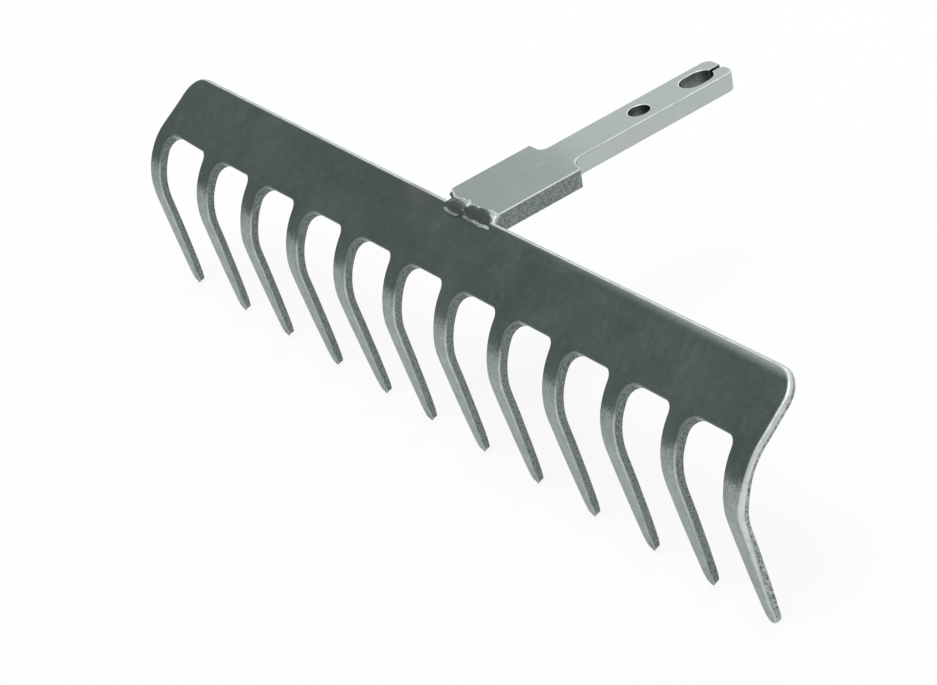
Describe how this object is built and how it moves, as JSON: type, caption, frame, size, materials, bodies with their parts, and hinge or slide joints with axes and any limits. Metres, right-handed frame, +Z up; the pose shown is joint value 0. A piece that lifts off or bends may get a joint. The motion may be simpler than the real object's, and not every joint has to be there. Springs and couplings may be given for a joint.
{
  "type": "garden rake head",
  "caption": "Garden rake head: a bent sheet-steel blade with tapered tines, welded to a flat bar that is shouldered, drilled and slotted to lock into a handle.",
  "frame": {"origin": "Middle of the head's width and depth, level with the lowest tine tips.", "axes": "+X along the blade, towards the end that is nearer in the picture; +Y back along the bar, towards the handle; +Z up, square to the bar's flat top face."},
  "size_m": [0.302, 0.1088, 0.061],
  "materials": {
    "blade_steel": "satin, dark greenish grey",
    "bar_steel": "satin, light greenish grey",
    "weld_metal": "melted, uneven, bright",
    "dark_weld_metal": "melted, uneven, dark"
  },
  "bodies": {
    "root": {"toothed_blade": "blade_steel", "shank_bar": "bar_steel", "weld_lump_far": "weld_metal", "weld_run": "dark_weld_metal", "weld_lump_near": "weld_metal", "weld_bead_under": "dark_weld_metal"}
  },
  "joints": []
}
